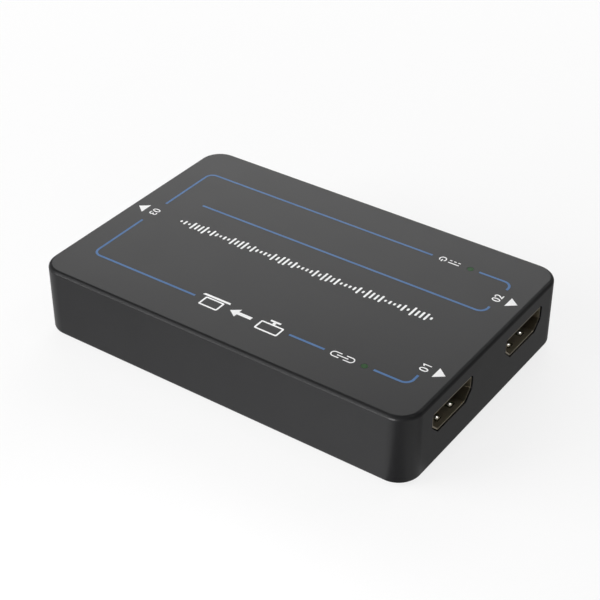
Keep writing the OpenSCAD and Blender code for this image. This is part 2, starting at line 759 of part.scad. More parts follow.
module data_socket_shell() color(metal_grey) at_data_socket() {
    difference() {
        along_x(-data_l, 0) data_outline();
        along_x(-data_l - cut, cut) data_outline(-data_t);
    }
    shell_legs(data_w / 2, data_t, data_leg_front, data_l - leg_from_back, data_h / 2);
}

module data_socket_insulator() color(resin_black) at_data_socket() difference() {
    union() {
        along_x(-data_l, data_block_l - data_l) data_outline(-data_t - block_gap);
        tongue(data_block_l / 2 - data_l, -data_tongue_sink, data_tongue_w, data_tongue_t,
            data_tongue_bevel, data_tongue_z);
    }
    groove_l = data_l - data_tongue_sink - contact_from_tip + contact_gap;
    for (z = [
        upper_row_z(data_tongue_z, data_tongue_t),
        lower_row_z(data_tongue_z, data_tongue_t, data_contact_t)
    ]) row_y(data_count, data_pitch) translate([-data_l - cut, -data_contact_w / 2 - contact_gap, z])
        cube([groove_l + cut, data_contact_w + 2 * contact_gap, data_contact_t]);
}

module data_socket_contacts() color(gold) at_data_socket() row_y(data_count, data_pitch) {
    tip_x = -data_tongue_sink - contact_from_tip;
    near_x = -data_l - tail_gap;
    far_x = near_x - data_row_gap;
    bent_strip(tip_x, far_x - data_contact_t, far_x - data_tail_l,
        upper_row_z(data_tongue_z, data_tongue_t), data_contact_t, data_contact_w);
    bent_strip(tip_x, near_x - data_contact_t, near_x - data_tail_l,
        lower_row_z(data_tongue_z, data_tongue_t, data_contact_t), data_contact_t, data_contact_w);
}

// Chips

module capture_chip() color(resin_black) on_board(capture_at) chip_body(capture_size);

module thermal_pad() color([0.55, 0.62, 0.7]) on_board(capture_at) translate([0, 0, capture_size.z])
    linear_extrude(pad_t) rounded_rect(capture_size.x, capture_size.y, chip_r);

module heat_sink() color([0.75, 0.76, 0.78]) on_board(capture_at) translate([0, 0, capture_size.z + pad_t]) {
    fin_top = cavity_h - rib_h - sink_gap - board_z - capture_size.z - pad_t;
    fin_step = (sink_side - fin_t) / (fin_count - 1);
    across_y(sink_side) {
        translate([-sink_side / 2, 0]) square([sink_side, sink_base]);
        for (i = [0:fin_count - 1]) translate([i * fin_step - sink_side / 2, 0]) square([fin_t, fin_top]);
    }
}

module receiver_chip() color(resin_black) on_board(receiver_at) chip_body(receiver_size);

module receiver_chip_leads() color(metal_grey) on_board(receiver_at) for (turn = [0, 90]) rotate(turn)
    side_leads(turn == 0 ? receiver_size.x : receiver_size.y, receiver_size.z,
        receiver_leads, receiver_pitch, receiver_lead_w);

module loop_driver_chip() color(resin_black) on_board(driver_at) chip_body(driver_size);

module memory_chip() color(resin_black) on_board(memory_at) rotate(90) chip_body(memory_size);

module memory_chip_leads() color(metal_grey) on_board(memory_at)
    side_leads(memory_size.y, memory_size.z, memory_leads, memory_pitch, memory_lead_w);

// Power and clock parts

module stadium(l, w) {
    square([l - w, w], center = true);
    for (s = [-1, 1]) translate([s * (l - w) / 2, 0]) circle(d = w);
}

module clock_crystals() color(metal_grey) for (x = crystal_x) on_board([x, -crystal_from_middle]) {
    linear_extrude(crystal_flange) stadium(crystal_size.x, crystal_size.y);
    linear_extrude(crystal_h) stadium(crystal_size.x - 2 * crystal_rim, crystal_size.y - 2 * crystal_rim);
}

// A regulator: moulded body, one wide tab on one side and three leads on the other
module regulator() {
    translate([0, 0, lead_t]) linear_extrude(regulator_size.z - lead_t)
        rounded_rect(regulator_size.x, regulator_size.y, chip_r);
    translate([0, -regulator_tab_w / 2, 0])
        cube([regulator_size.x / 2 + lead_reach, regulator_tab_w, 2 * lead_t]);
    row_y(3, regulator_pitch) translate([-regulator_size.x / 2 - lead_reach, -regulator_lead_w / 2, 0])
        cube([regulator_size.x / 2 + lead_reach, regulator_lead_w, 2 * lead_t]);
}

module voltage_regulators() color(resin_black) for (s = [-1, 1])
    on_board([regulator_from_end - body_l / 2, s * regulator_from_middle]) regulator();

module power_inductors() color([0.3, 0.3, 0.32]) for (s = [-1, 1])
    on_board([inductor_from_end - body_l / 2, s * inductor_from_middle]) {
        linear_extrude(inductor_body_h) rounded_rect(inductor_side, inductor_side, inductor_r);
        cylinder(d = inductor_cap_d, h = inductor_h);
    }

// A bulk capacitor: square base and a crimped can
module bulk_capacitor() {
    r = can_d / 2;
    linear_extrude(can_base) rounded_rect(can_d + 2 * can_margin, can_d + 2 * can_margin, can_margin * 2);
    rotate_extrude() polygon([
        [0, 0], [r, 0], [r, crimp_from_board - crimp_depth],
        [r - crimp_depth, crimp_from_board], [r, crimp_from_board + crimp_depth],
        [r, can_h - crimp_depth], [r - crimp_depth, can_h], [0, can_h]
    ]);
}

module bulk_capacitors() color([0.72, 0.73, 0.75]) for (s = [-1, 1])
    on_board([can_from_end - body_l / 2, s * can_from_middle]) bulk_capacitor();

// Small parts

module surge_arrays() color(resin_black) for (side = [-1, 1], s = [-1, 1]) {
    x = socket_back_x - tail_gap - tail_l - array_gap - array_size.x / 2;
    on_board([x, side * socket_y + s * array_from_axis])
        linear_extrude(array_size.z) rounded_rect(array_size.x, array_size.y, chip_r);
}

// A chip part: a body with an end cap over each end
module small_part() {
    translate([0, 0, cap_t]) linear_extrude(small_size.z - 2 * cap_t)
        square([small_size.x - cap_t, small_size.y - 2 * cap_t], center = true);
    for (s = [0, 1]) mirror([s, 0]) translate([small_size.x / 2 - cap_end, -small_size.y / 2, 0])
        cube([cap_end, small_size.y, small_size.z]);
}

// A row of chip parts along the board, turned across it
module small_row(y) for (i = [0:small_count - 1])
    on_board([(i - (small_count - 1) / 2) * small_pitch, y]) rotate(90) small_part();

module chip_capacitors() color([0.66, 0.52, 0.36]) small_row(board_w / 2 - capacitor_from_edge);

module chip_resistors() color([0.1, 0.1, 0.12]) small_row(resistor_from_edge - board_w / 2);

top_shell();
bottom_cover();
cover_screws();
rubber_feet();
power_light_pipe();
link_light_pipe();
power_diode();
link_diode();
main_board();
input_socket_shell();
input_socket_insulator();
input_socket_contacts();
output_socket_shell();
output_socket_insulator();
output_socket_contacts();
data_socket_shell();
data_socket_insulator();
data_socket_contacts();
capture_chip();
thermal_pad();
heat_sink();
receiver_chip();
receiver_chip_leads();
loop_driver_chip();
memory_chip();
memory_chip_leads();
clock_crystals();
voltage_regulators();
power_inductors();
bulk_capacitors();
surge_arrays();
chip_capacitors();
chip_resistors();
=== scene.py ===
"""Looks of a video capture box: finishes for its solids, the print on its top and a studio round it."""

import math

import bmesh
import bpy
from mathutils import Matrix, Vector


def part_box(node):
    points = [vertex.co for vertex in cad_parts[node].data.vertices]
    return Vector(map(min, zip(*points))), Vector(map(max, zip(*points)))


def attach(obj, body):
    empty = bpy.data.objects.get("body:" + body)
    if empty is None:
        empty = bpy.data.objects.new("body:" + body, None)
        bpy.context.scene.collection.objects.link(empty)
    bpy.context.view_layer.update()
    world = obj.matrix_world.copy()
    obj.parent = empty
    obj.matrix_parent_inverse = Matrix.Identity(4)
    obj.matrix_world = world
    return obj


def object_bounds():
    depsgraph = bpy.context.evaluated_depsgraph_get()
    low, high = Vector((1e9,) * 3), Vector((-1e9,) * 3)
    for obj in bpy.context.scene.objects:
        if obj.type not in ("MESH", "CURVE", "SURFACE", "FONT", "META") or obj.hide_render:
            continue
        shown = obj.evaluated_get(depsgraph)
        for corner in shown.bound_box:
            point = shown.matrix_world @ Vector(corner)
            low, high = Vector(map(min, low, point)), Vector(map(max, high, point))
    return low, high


bl_info = {
    "name": "Video Capture Box",
    "version": (1, 0, 0),
    "blender": (4, 5, 0),
    "location": "View3D > Sidebar > Capture Box",
    "description": "Dresses the solids of a video capture box and prints its top",
    "category": "Add Mesh",
}

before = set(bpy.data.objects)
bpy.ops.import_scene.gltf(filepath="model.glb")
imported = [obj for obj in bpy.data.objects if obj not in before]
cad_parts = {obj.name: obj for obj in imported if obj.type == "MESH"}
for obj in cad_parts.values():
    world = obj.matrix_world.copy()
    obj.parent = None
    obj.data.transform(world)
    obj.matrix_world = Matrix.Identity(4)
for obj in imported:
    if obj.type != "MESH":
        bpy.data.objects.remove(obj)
CAD_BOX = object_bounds()

MM = 0.001
VIDEO_SIDES = ("input", "output")

# Corners of a square about the origin, counter-clockwise
SQUARE = ((-1, -1), (1, -1), (1, 1), (-1, 1))

# How points are joined and edges broken
SOLID_WELD = 0.001 * MM
INK_WELD = 0.0001 * MM
FLAT_ANGLE = math.radians(0.2)
SHARP_ANGLE = math.radians(40)
EDGE_STEPS = 3

# Printed numbers: their height as a share of the font's size, and, as shares of their height, the growth of
# the strokes and the shifts of the two figures at the input
CAP_SHARE = 0.7
STROKE_GROWTH = 0.01
ZERO_SHIFT = -0.25
ONE_SHIFT = 0.45

# Waves that set the heights of the signal bars, in radians a bar, where the fast one starts, and the radius
# of a bar's ends as a share of its width
SLOW_WAVE = 0.31
FAST_WAVE = 1.27
FAST_START = 0.6
BAR_ROUND = 0.45

# Where the metal of small parts begins: half the length of a body, or a height above the board
DIODE_HALF = 0.6 * MM
CHIP_HALF = 0.5 * MM
REGULATOR_TAB_H = 0.31 * MM
CAPACITOR_BASE_H = 0.81 * MM

# Colours used more than once
BLACK_RESIN = (0.016, 0.016, 0.017)
TIN = (0.72, 0.72, 0.7)
WHITE = (1, 1, 1, 1)

# Studio: half the floor's side and the radius where its paper turns plain white, in metres, the share of
# plain white in the paper at the box and in reflections, how fast the room darkens upwards, and the
# camera's sensor in millimetres and nearest distance in metres
FLOOR_HALF = 3.0
PAPER_R = 0.45
PAPER_WHITE = 0.8
PAPER_MIRRORED = 0.04
ROOM_FALL = 8
SENSOR_W = 36
NEAREST = 0.01

# Lamps that face the box: azimuth from +X and elevation in degrees, distance and size in metres, watts,
# and whether reflections show the lamp
LAMPS = {
    "back_softbox": (125, 30, 1.0, (0.75, 0.5), 3.1, True),
    "back_fill": (100, 12, 1.0, (0.8, 0.35), 6.0, False),
    "left_softbox": (218, 14, 1.0, (0.8, 0.35), 10.5, False),
    "front_softbox": (231, 33, 1.0, (0.6, 0.55), 2.9, True),
    "front_strip": (239, 4, 1.0, (0.55, 0.14), 2.8, True),
    "side_fill": (286, 5, 0.14, (0.04, 0.025), 0.11, True),
    "top_softbox": (0, 90, 1.0, (0.5, 0.5), 0.6, False),
    "right_softbox": (64, 37, 1.0, (0.4, 0.32), 0.75, True),
    "end_spot": (11, 59, 0.7, (0.08, 0.08), 0.2, True),
    "socket_spot": (52, 34, 0.7, (0.35, 0.3), 3.2, True),
}


def middle(node):
    """Middle of a solid's box."""
    low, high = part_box(node)
    return (low + high) / 2


ROOF_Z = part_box("top_shell")[1].z
BOARD_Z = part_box("main_board")[1].z
VIDEO_END_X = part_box("top_shell")[1].x
DATA_END_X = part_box("top_shell")[0].x
NEAR_SIDE_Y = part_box("top_shell")[0].y

# Painted reflections: two patches of the floor, shown by reflections alone, whose levels of white paint
# shade on the box's near long side, near corner and video end: their brightness, and limits that are slopes
# seen from their corner, the way along over the way ahead. The one before the near long side gets darker
# towards the data end and has a dark wedge at the corner, painted shade on that corner. The one beyond the
# video end fades to an even grey, painted shade on the end
PAINTED_REFLECTION_INSET = 6.4 * MM
PAINTED_REFLECTION_CORNER = (VIDEO_END_X - PAINTED_REFLECTION_INSET, NEAR_SIDE_Y + PAINTED_REFLECTION_INSET)
PAINTED_REFLECTION_LEFT = 0.68
PAINTED_REFLECTION_LEAST = 0.6
WEDGE_FROM = 0.16
WEDGE_FULL = 0.6
WEDGE_TO = 1.6
CORNER_PAINTED_REFLECTION = 0.76
END_PAINTED_REFLECTION = 0.375
END_FADE = 0.45


# Settings that a user would change


def length(name, description, mm):
    """A length in millimetres, kept in metres."""
    return bpy.props.FloatProperty(
        name=name, description=description, default=mm * MM, unit="LENGTH", precision=5
    )


def colour(name, description, rgb):
    """A scene-linear colour."""
    return bpy.props.FloatVectorProperty(
        name=name, description=description, default=rgb, subtype="COLOR", size=3, min=0, max=1
    )


class PrintSizes(bpy.types.PropertyGroup):
    """Sizes of the print on the top"""

    line_w: length("Line width", "Width of a printed line", 0.52)
    line_r: length("Line corner", "Radius of a printed line's corners at its middle", 1.85)
    line_margin: length("Line margin", "Distance of the line frame from the housing's ends", 6.55)
    middle_y: length("Middle line", "Distance of the middle line from the long axis", 8.3)
    middle_margin: length("Middle line margin", "Distance of the middle line's end from the data end", 13.9)
    input_gap: length("Input gap", "Gap in the line frame on one side of the input socket's axis", 2.7)
    output_gap: length("Output gap", "Gap in the line frame on each side of the output socket's axis", 3.65)
    data_gap: length("Data gap", "Gap in the line frame on each side of the data socket's axis", 4.15)
    sign_gap: length("Sign gap", "Gap in the line frame on the data side of a light", 9.4)
    light_gap: length("Light gap", "Gap in the line frame on the socket side of a light", 2.15)
    strip_gap: length("Strip gap", "Half the gap in the line frame round the sign strip", 12)
    arrow_margin: length("Arrow margin", "Distance of an arrow's point from the end of the housing", 2.05)
    arrow_l: length("Arrow length", "Length of an arrow", 2.15)
    arrow_w: length("Arrow width", "Width of an arrow", 3.3)
    number_margin: length("Number margin", "Distance of a number's middle from the end of the housing", 6.7)
    number_h: length("Number height", "Height of a number", 1.9)
    sign_margin: length("Sign margin", "Distance of a light's sign from the light", 5.1)
    sign_h: length("Sign height", "Height of a light's sign", 1.75)
    bar_count: bpy.props.IntProperty(name="Bars", description="Number of signal bars", default=60, min=1)
    bar_pitch: length("Bar pitch", "Pitch of the signal bars", 1.1)
    bar_w: length("Bar width", "Width of a signal bar", 0.5)
    bar_low: length("Lowest bar", "Height of the lowest signal bar", 0.7)
    bar_high: length("Highest bar", "Height of the highest signal bar", 3.3)
    bar_y: length("Bar row", "Distance of the row of bars from the long axis", 0.35)
    strip_h: length("Strip height", "Height of the signs in the strip", 4.2)
    strip_pitch: length("Strip pitch", "Pitch of the signs in the strip", 7.4)
    ink_h: length("Ink height", "Height of the ink above the roof", 0.012)
    ink_root: length("Ink root", "Depth of the ink in the grain of the roof", 0.01)


class EdgeSizes(bpy.types.PropertyGroup):
    """Rounds that break the sharp edges"""

    housing: length("Housing", "Round on the sharp edges of the mouldings", 0.12)
    sheet: length("Sheet", "Round on the edges of the socket shells", 0.11)
    turned: length("Turned", "Round on the edges of the screws and the feet", 0.15)


class PipSizes(bpy.types.PropertyGroup):
    """Places of the pips on the spring fingers of the video sockets"""

    from_mouth: length("From mouth", "Distance of a pip from the mouth of its socket", 2.0)
    from_axis: length("From axis", "Distance of a pip from the axis of its socket", 2.5)
    width: length("Width", "Width of the spot that plugs have rubbed bright", 1.1)


class Colours(bpy.types.PropertyGroup):
    """Colours of the visible pieces"""

    housing: colour("Housing", "Moulded plastic of the housing", (0.0105, 0.0105, 0.011))
    line_ink: colour("Line ink", "Ink of the printed lines", (0.02, 0.118, 0.315))
    mark_ink: colour("Mark ink", "Ink of the arrows, numbers and signs", (0.92, 0.92, 0.92))
    lens: colour("Lens", "Resin of the light pipes", (0.008, 0.055, 0.008))
    socket_plate: colour("Socket plate", "Plating of the socket shells", (0.365, 0.32, 0.235))
    rubbed_plate: colour("Rubbed plate", "Plating that plugs have rubbed bright", (0.93, 0.91, 0.85))
    contact: colour("Contact", "Plating of the contacts", (0.83, 0.62, 0.26))
    laminate: colour("Laminate", "Solder mask of the board", (0.012, 0.11, 0.04))


class StageSettings(bpy.types.PropertyGroup):
    """Camera and light"""

    azimuth: bpy.props.FloatProperty(
        name="Azimuth", description="Direction of the camera round the box, from the near long side",
        default=math.radians(35.07), subtype="ANGLE",
    )
    elevation: bpy.props.FloatProperty(
        name="Elevation", description="Height of the camera above the horizon",
        default=math.radians(35.02), subtype="ANGLE",
    )
    distance: length("Distance", "Distance of the camera from its aim", 328.8)
    aim: bpy.props.FloatVectorProperty(
        name="Aim", description="Place that the camera looks at, from the middle of the box",
        default=(-0.00215, 0.0032, -0.002345), subtype="TRANSLATION", size=3,
    )
    lens: bpy.props.FloatProperty(
        name="Lens", description="Focal length on a sensor 36 mm wide, in millimetres", default=89.89,
    )
    sky: bpy.props.FloatProperty(name="Sky", description="Brightness of the room overhead", default=0.1)
    horizon: bpy.props.FloatProperty(
        name="Horizon", description="Brightness of the room at the horizon", default=0.3,
    )
    mirrored: bpy.props.FloatProperty(
        name="Mirrored", description="Least brightness of the room in reflections and through glass",
        default=0.2,
    )


# Shader nodes written as expressions


class Wire:
    """An output socket of a shader tree that takes part in Python expressions"""

    def __init__(self, tree, socket):
        self.tree = tree
        self.socket = socket

    @staticmethod
    def add(tree, kind, settings=None, sockets=None, out=0):
        """Adds a node: its settings first, then the values or links of its sockets."""
        node = tree.nodes.new(kind)
        for key, value in (settings or {}).items():
            setattr(node, key, value)
        for key, value in (sockets or {}).items():
            if isinstance(value, Wire):
                tree.links.new(value.socket, node.inputs[key])
            else:
                node.inputs[key].default_value = value
        return Wire(tree, node.outputs[out])

    def make(self, kind, settings=None, sockets=None, out=0):
        """Adds a node to this wire's tree."""
        return Wire.add(self.tree, kind, settings, sockets, out)

    def maths(self, operation, *values):
        """Adds a Math node on this wire and the values."""
        sockets = dict(enumerate((self, *values)))
        return self.make("ShaderNodeMath", {"operation": operation}, sockets)

    def __add__(self, other):
        return self.maths("ADD", other)

    def __sub__(self, other):
        return self.maths("SUBTRACT", other)

    def __mul__(self, other):
        return self.maths("MULTIPLY", other)

    def __truediv__(self, other):
        return self.maths("DIVIDE", other)

    def __pow__(self, other):
        return self.maths("POWER", other)

    def __gt__(self, other):
        return self.maths("GREATER_THAN", other)

    def __lt__(self, other):
        return self.maths("LESS_THAN", other)

    def __abs__(self):
        return self.maths("ABSOLUTE")

    def __rsub__(self, other):
        return self.make("ShaderNodeMath", {"operation": "SUBTRACT"}, {0: other, 1: self})

    __radd__ = __add__
    __rmul__ = __mul__

    def at_least(self, other):
        return self.maths("MAXIMUM", other)

    def at_most(self, other):
        return self.maths("MINIMUM", other)

    def blend(self, low, high):
        """A colour that goes from low to high with this wire."""
        shades = [(*c, 1) if isinstance(c, tuple) else c for c in (low, high)]
        sockets = {"Factor": self, "A": shades[0], "B": shades[1]}
        return self.make("ShaderNodeMix", {"data_type": "RGBA"}, sockets, "Result")


def rgb(value):
    """A plain tuple of a colour property."""
    return tuple(value)


def scaled(shade, factor):
    """A colour made brighter or darker by a factor."""
    return tuple(min(1, c * factor) for c in shade)


def rays_seen(tree):
    """Whether a ray comes straight from the camera, and whether by a reflection or through glass."""
    camera = Wire.add(tree, "ShaderNodeLightPath", out="Is Camera Ray")
    glossy, through = (
        Wire(tree, camera.socket.node.outputs[name]) for name in ("Is Glossy Ray", "Is Transmission Ray")
    )
    return camera, glossy.at_least(through)


class Finish:
    """A material in the making: its tree, its coordinates and its surface"""

    def __init__(self, name):
        self.material = bpy.data.materials.new(name)
        self.material.use_nodes = True
        self.tree = self.material.node_tree
        self.shader = self.tree.nodes["Principled BSDF"]
        self.place = Wire.add(self.tree, "ShaderNodeTexCoord", out="Object")

    def noise(self, grain, detail=2.0, stretch=(1, 1, 1)):
        """Noise from 0 to 1 whose grain is that long, stretched along the axes."""
        spread = self.place.make(
            "ShaderNodeVectorMath", {"operation": "MULTIPLY"}, {0: self.place, 1: stretch}, "Vector"
        )
        return self.place.make(
            "ShaderNodeTexNoise", {"noise_dimensions": "3D"},
            {"Vector": spread, "Scale": 1 / grain, "Detail": detail, "Roughness": 0.55}, "Fac",
        )

    def axis(self, name):
        """One coordinate of the surface, in metres."""
        return self.place.make("ShaderNodeSeparateXYZ", sockets={0: self.place}, out=name)

    def bump(self, height, depth, strength=1.0):
        """Normals raised by a height from 0 to 1 over a depth."""
        sockets = {"Height": height, "Distance": depth, "Strength": strength}
        return self.place.make("ShaderNodeBump", sockets=sockets, out="Normal")

    def surface(self, **sockets):
        """Sets the shader's sockets to values or wires; an underscore stands for a space."""
        for key, value in sockets.items():
            target = self.shader.inputs[key.replace("_", " ")]
            if isinstance(value, Wire):
                self.tree.links.new(value.socket, target)
            elif isinstance(value, tuple):
                target.default_value = (*value, 1)
            else:
                target.default_value = value
        return self.material


# Finishes


def moulded_plastic(shade):
    """Satin black plastic with the fine grain of its mould."""
    finish = Finish("moulded_plastic")
    grain = finish.noise(0.16 * MM, 2)
    cloud = finish.noise(7 * MM, 3)
    return finish.surface(
        Base_Color=cloud.blend(scaled(shade, 0.9), scaled(shade, 1.1)),
        Roughness=0.31 + 0.05 * cloud + 0.03 * grain,
        Normal=finish.bump(grain, 0.004 * MM, 0.35),
        Specular_IOR_Level=0.2,
    )


def ink(name, shade):
    """Screen-printed ink with a slightly uneven film."""
    finish = Finish(name)
    film = finish.noise(0.5 * MM, 3)
    return finish.surface(
        Base_Color=film.blend(scaled(shade, 0.94), scaled(shade, 1.03)),
        Roughness=0.42 + 0.1 * film,
        Normal=finish.bump(film, 0.003 * MM, 0.3),
    )


def plated(name, shade, roughness, grain=0.25, stretch=(0.15, 1, 1)):
    """Plated sheet metal with faint rolling lines along X."""
    finish = Finish(name)
    lines = finish.noise(grain * MM, 3, stretch)
    patina = finish.noise(2.2 * MM, 2)
    return finish.surface(
        Base_Color=patina.blend(scaled(shade, 0.86), scaled(shade, 1.08)),
        Roughness=roughness - 0.05 + 0.14 * lines,
        Normal=finish.bump(lines, 0.003 * MM, 0.4),
        Metallic=1.0,
    )


def rubbed_plate(name, shade, bright, dome_of):
    """Dull plating with domes, from 0 at their rims to 1 at their tops, that plugs have rubbed bright."""
    finish = Finish(name)
    lines = finish.noise(0.25 * MM, 3, (0.15, 1, 1))
    patina = finish.noise(2.2 * MM, 2)
    dome = dome_of(finish)
    dull = patina.blend(scaled(shade, 0.86), scaled(shade, 1.08))
    return finish.surface(
        Base_Color=(dome > 0).blend(dull, bright),
        Roughness=0.27 + 0.14 * lines,
        Normal=finish.bump(dome + 0.006 * lines, 0.2 * MM),
        Metallic=1.0,
    )


def resin(name, shade, roughness, grain=0.12, depth=0.006):
    """Moulded or pressed matt material with a fine grain."""
    finish = Finish(name)
    speck = finish.noise(grain * MM, 3)
    cloud = finish.noise(grain * 14 * MM, 2)
    return finish.surface(
        Base_Color=cloud.blend(scaled(shade, 0.85), scaled(shade, 1.15)),
        Roughness=roughness - 0.05 + 0.12 * speck,
        Normal=finish.bump(speck, depth * MM, 0.5),
    )


def lens_resin(shade):
    """Tinted resin of the light pipes with a faint haze."""
    finish = Finish("lens_resin")
    haze = finish.noise(0.6 * MM, 2)
    return finish.surface(
        Base_Color=haze.blend(scaled(shade, 0.8), scaled(shade, 1.25)),
        Roughness=0.3 + 0.1 * haze,
        Specular_IOR_Level=0.12,
    )


def solder_mask(shade):
    """Board lacquer over copper tracks."""
    finish = Finish("solder_mask")
    cells = finish.place.make(
        "ShaderNodeTexVoronoi", {"feature": "DISTANCE_TO_EDGE", "distance": "MANHATTAN"},
        {"Vector": finish.place, "Scale": 1 / (2.6 * MM)}, "Distance",
    )
    track = cells < 0.06
    weave = finish.noise(0.5 * MM, 2)
    return finish.surface(
        Base_Color=track.blend(shade, scaled(shade, 1.9)),
        Roughness=0.3 + 0.12 * weave,
        Normal=finish.bump(track + 0.2 * weave, 0.03 * MM, 0.6),
        Coat_Weight=0.4,
    )


def tipped(name, body, tip, mask_of):
    """Two finishes on one piece: a body and metal tips where the mask is 1."""
    finish = Finish(name)
    speck = finish.noise(0.2 * MM, 2)
    mask = mask_of(finish)
    return finish.surface(
        Base_Color=mask.blend(body, tip),
        Metallic=mask,
        Roughness=0.5 - 0.15 * mask + 0.1 * speck,
        Normal=finish.bump(speck, 0.006 * MM, 0.4),
    )


def floor_paper():
    """White studio paper that keeps the box's shadow, with two patches on it that reflections alone show:
    painted reflections that put painted shade on the box's sides.
    """
    finish = Finish("floor_paper")
    fibre = finish.noise(1.5 * MM, 3)
    finish.surface(
        Base_Color=fibre.blend((0.88, 0.88, 0.88), (0.9, 0.9, 0.9)), Roughness=0.9, Specular_IOR_Level=0.1
    )
    x, y = finish.axis("X"), finish.axis("Y")
    far = ((x * x + y * y) * (1 / PAPER_R ** 2)).at_most(1)
    camera, mirrored = rays_seen(finish.tree)
    corner_x, corner_y = PAINTED_REFLECTION_CORNER
    ahead = corner_y - y
    turn = (x - corner_x) / ahead
    front = ahead > 0
    # Painted reflection: where glossy and transmission rays see set levels of white instead of the lit
    # paper
    painted_reflection = mirrored * front.at_least(x > corner_x)
    rise = (1 - PAINTED_REFLECTION_LEFT) / (corner_x - DATA_END_X)
    slope = (PAINTED_REFLECTION_LEFT + rise * (x - DATA_END_X)).at_most(1).at_least(PAINTED_REFLECTION_LEAST)
    wedge = ((turn - WEDGE_FULL) * (1 / (WEDGE_TO - WEDGE_FULL))).at_most(1).at_least(0)
    left = turn < WEDGE_FROM
    front_level = left * slope + (1 - left) * CORNER_PAINTED_REFLECTION * wedge
    fall = (1 + ahead / (x - corner_x) * (1 / END_FADE)).at_most(1).at_least(0)
    end_level = END_PAINTED_REFLECTION + (CORNER_PAINTED_REFLECTION - END_PAINTED_REFLECTION) * fall
    # Painted shade mirrored by the box: a dark wedge at the near corner and an even grey at the video end
    shade = painted_reflection * (1 - end_level + front * (end_level - front_level))
    glow = camera.make("ShaderNodeEmission", sockets={"Color": WHITE, "Strength": 1.0})
    shaded = camera.make("ShaderNodeMixShader", sockets={0: shade, 1: glow})
    seen = camera * (PAPER_WHITE + (1 - PAPER_WHITE) * far)
    share = seen.at_least(PAPER_MIRRORED * mirrored).at_least(painted_reflection)
    paper = Wire(finish.tree, finish.shader.outputs[0])
    mixed = camera.make("ShaderNodeMixShader", sockets={0: share, 1: paper, 2: shaded})
    finish.tree.links.new(mixed.socket, finish.tree.nodes["Material Output"].inputs["Surface"])
    return finish.material


# Helpers for pieces


def dress(material, *nodes):
    """Gives solids a finish."""
    for name in nodes:
        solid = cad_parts[name]
        solid.data.materials.clear()
        solid.data.materials.append(material)


def soften(width, *nodes):
    """Breaks the sharp edges of solids with small rounds and evens their shading."""
    for name in nodes:
        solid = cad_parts[name]
        weld = solid.modifiers.new("weld", "WELD")
        weld.merge_threshold = SOLID_WELD
        flat = solid.modifiers.new("flat", "DECIMATE")
        flat.decimate_type = "DISSOLVE"
        flat.angle_limit = FLAT_ANGLE
        edge = solid.modifiers.new("edge", "BEVEL")
        edge.limit_method = "ANGLE"
        edge.angle_limit = SHARP_ANGLE
        edge.width = width
        edge.segments = EDGE_STEPS
        even = solid.modifiers.new("even", "WEIGHTED_NORMAL")
        even.weight = 100


def arc(centre, radius, start, end, steps=12):
    """Points on an arc between two angles in degrees."""
    angles = [math.radians(start + (end - start) * i / steps) for i in range(steps + 1)]
    return [Vector((centre[0] + radius * math.cos(a), centre[1] + radius * math.sin(a))) for a in angles]


def rounded_path(corners, radius, steps=10):
    """An open line through corners, each inner corner turned into an arc."""
    points = [Vector(corners[0])]
    for before, corner, after in zip(corners, corners[1:], corners[2:]):
        here = Vector(corner)
        back = (Vector(before) - here).normalized()
        onward = (Vector(after) - here).normalized()
        half = back.angle(onward) / 2
        centre = here + (back + onward).normalized() * radius / math.sin(half)
        first = here + back * radius / math.tan(half) - centre
        last = here + onward * radius / math.tan(half) - centre
        turn = first.angle_signed(last)
        for i in range(steps + 1):
            angle = turn * i / steps
            cos, sin = math.cos(-angle), math.sin(-angle)
            points.append(centre + Vector((first.x * cos - first.y * sin, first.x * sin + first.y * cos)))
    points.append(Vector(corners[-1]))
    return points


def ribbon(points, width):
    """Closed outline of a line of that width along an open path."""
    sides = []
    for i, point in enumerate(points):
        along = (points[min(i + 1, len(points) - 1)] - points[max(i - 1, 0)]).normalized()
        across = Vector((-along.y, along.x)) * width / 2
        sides.append((point + across, point - across))
    return [a for a, _ in sides] + [b for _, b in reversed(sides)]


def box_loop(x, y, w, h, r=0.0):
    """Outline of a rectangle about a middle, with square or round corners."""
    if not r:
        return [Vector((x + sx * w / 2, y + sy * h / 2)) for sx, sy in SQUARE]
    loop = []
    for sx, sy, start in ((1, 1, 0), (-1, 1, 90), (-1, -1, 180), (1, -1, 270)):
        loop += arc((x + sx * (w / 2 - r), y + sy * (h / 2 - r)), r, start, start + 90, 6)
    return loop


def placed(loops, at, turn=0.0):
    """Outlines turned by degrees and moved to a place."""
    a = math.radians(turn)
    cos, sin = math.cos(a), math.sin(a)
    return [
        [Vector((at[0] + p.x * cos - p.y * sin, at[1] + p.x * sin + p.y * cos)) for p in loop]
        for loop in loops
    ]


def print_on_roof(name, loops, material, sizes):
    """A film of ink on the roof, as a closed solid; a loop inside another is a hole."""
    curve = bpy.data.curves.new(name, "CURVE")
    curve.dimensions = "2D"
    curve.fill_mode = "BOTH"
    curve.extrude = (sizes.ink_h + sizes.ink_root) / 2
    for loop in loops:
        spline = curve.splines.new("POLY")
        spline.points.add(len(loop) - 1)
        for point, spot in zip(spline.points, loop):
            point.co = (spot.x, spot.y, 0, 1)
        spline.use_cyclic_u = True
    return ink_from(name, curve, (0, 0, 0), material, sizes)


